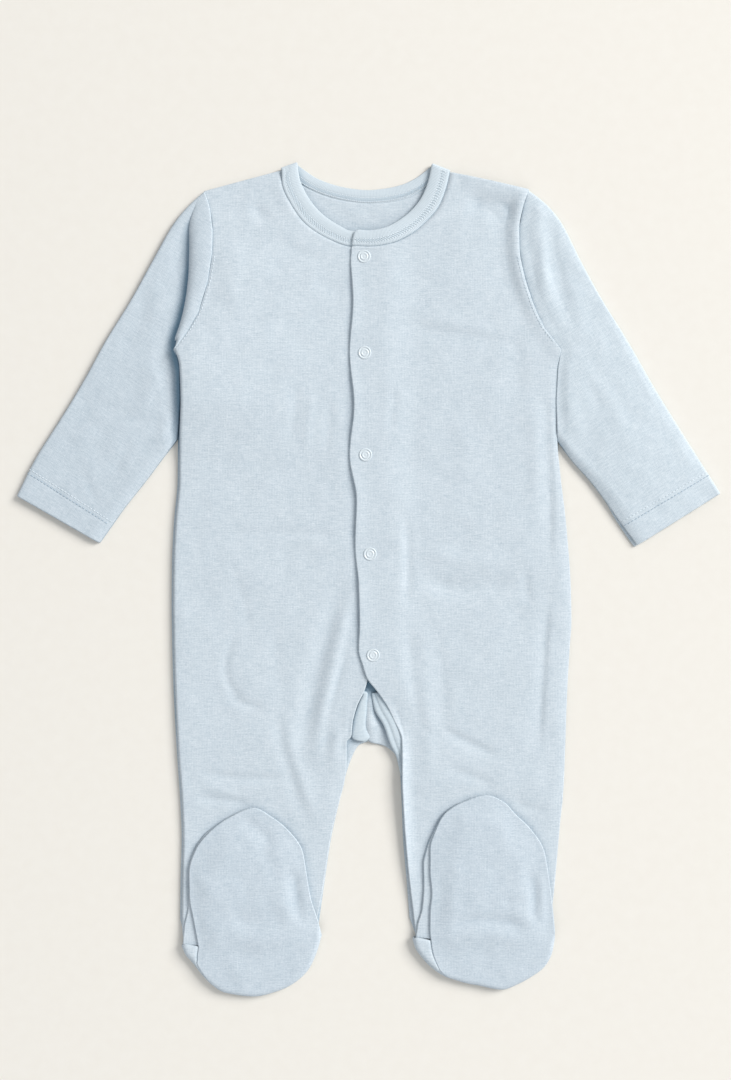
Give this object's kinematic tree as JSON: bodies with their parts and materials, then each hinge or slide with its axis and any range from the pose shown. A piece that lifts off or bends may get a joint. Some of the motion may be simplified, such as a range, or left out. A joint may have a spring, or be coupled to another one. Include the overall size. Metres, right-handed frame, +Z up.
{
  "type": "footed baby sleepsuit",
  "caption": "Footed baby sleepsuit laid flat on its back: round bound neck, long sleeves, off-centre snapped front to the crotch, feet folded up over the legs.",
  "frame": {"origin": "the middle of the laid-out suit, on the surface that it lies on", "axes": "+Y runs from the feet to the neck, +Z is up, away from the surface, and the wearer's left is at +X"},
  "size_m": [0.4818, 0.5712, 0.0075],
  "materials": {
    "body_knit": "pale blue cotton interlock, matt",
    "sleeve_knit": "pale blue cotton interlock, matt",
    "sole_knit": "pale blue cotton interlock, matt",
    "neck_rib": "pale blue cotton rib strip, matt",
    "placket_tape": "pale blue cotton facing, matt",
    "snap_cap": "pale blue enamelled ring snap, slightly glossy"
  },
  "bodies": {
    "root": {"back": "body_knit", "front_right": "body_knit", "front_left": "body_knit", "sleeve_right": "sleeve_knit", "sleeve_left": "sleeve_knit", "neck_binding": "neck_rib", "placket_stand": "placket_tape", "inseam_facing": "placket_tape", "sole_right": "sole_knit", "sole_left": "sole_knit", "snap_1": "snap_cap", "snap_2": "snap_cap", "snap_3": "snap_cap", "snap_4": "snap_cap", "snap_5": "snap_cap"}
  },
  "joints": []
}
